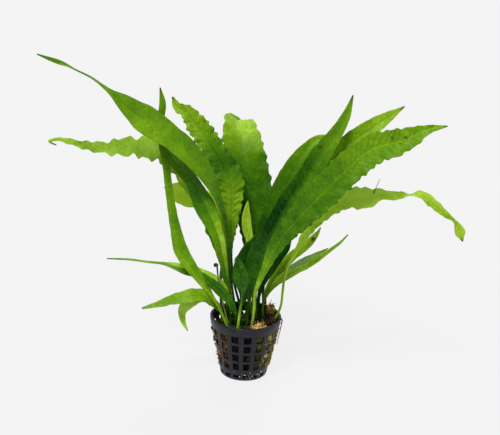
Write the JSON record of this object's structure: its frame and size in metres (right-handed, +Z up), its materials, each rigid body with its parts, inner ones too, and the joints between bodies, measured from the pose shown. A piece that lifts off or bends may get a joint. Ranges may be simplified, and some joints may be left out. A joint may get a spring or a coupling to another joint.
{
  "type": "potted java fern",
  "caption": "Java fern in a small tapered net pot, with long leathery fronds rising from creeping rhizomes on a wool plug, standing on its flat base.",
  "frame": {"origin": "centre of the net pot's flat underside", "axes": "+Z up along the pot's axis, -Y toward the side the picture shows, +X to the right as the picture shows it"},
  "size_m": [0.3058, 0.1417, 0.2484],
  "materials": {
    "pot_plastic": "satin",
    "wool": "matte",
    "wool_tan": "matte",
    "rhizome": "matte",
    "leaf_deep": "satin",
    "leaf_fresh": "satin",
    "leaf_pale": "satin",
    "leaf_yellow": "satin",
    "litter": "matte",
    "young_frond": "matte",
    "root": "matte"
  },
  "bodies": {
    "root": {"net_pot": "pot_plastic", "wool_plug": "wool", "wool_tuft_front": "wool_tan", "wool_tuft_back": "wool_tan", "rhizome_front": "rhizome", "rhizome_middle": "rhizome", "rhizome_back": "rhizome", "frond_long_left": "leaf_deep", "frond_ruffled_left": "leaf_pale", "frond_narrow_left": "leaf_fresh", "frond_dark_left": "leaf_deep", "frond_yellow_left": "leaf_yellow", "frond_crinkled_left": "leaf_fresh", "frond_broad_middle": "leaf_fresh", "frond_behind_middle": "leaf_yellow", "frond_small_middle": "leaf_yellow", "frond_dark_middle": "leaf_deep", "frond_short_front": "leaf_deep", "frond_tall_right": "leaf_fresh", "frond_pale_right": "leaf_pale", "frond_bright_right": "leaf_fresh", "frond_broad_right": "leaf_fresh", "frond_drooping_right": "leaf_pale", "frond_thin_right": "leaf_fresh", "frond_spotted_right": "leaf_yellow", "frond_dark_inner_right": "leaf_deep", "frond_low_left": "leaf_deep", "frond_lobe_left": "leaf_fresh", "frond_drop_left": "leaf_fresh", "frond_front_left": "leaf_deep", "frond_back_left": "leaf_deep", "frond_back_middle_left": "leaf_deep", "frond_back_middle": "leaf_deep", "frond_back_right": "leaf_deep", "frond_back_far_right": "leaf_deep", "frond_back_low_right": "leaf_deep", "frond_back_low_left": "leaf_deep", "dead_leaf": "litter", "young_frond_coiled": "young_frond", "root_over_rim": "root"}
  },
  "joints": []
}
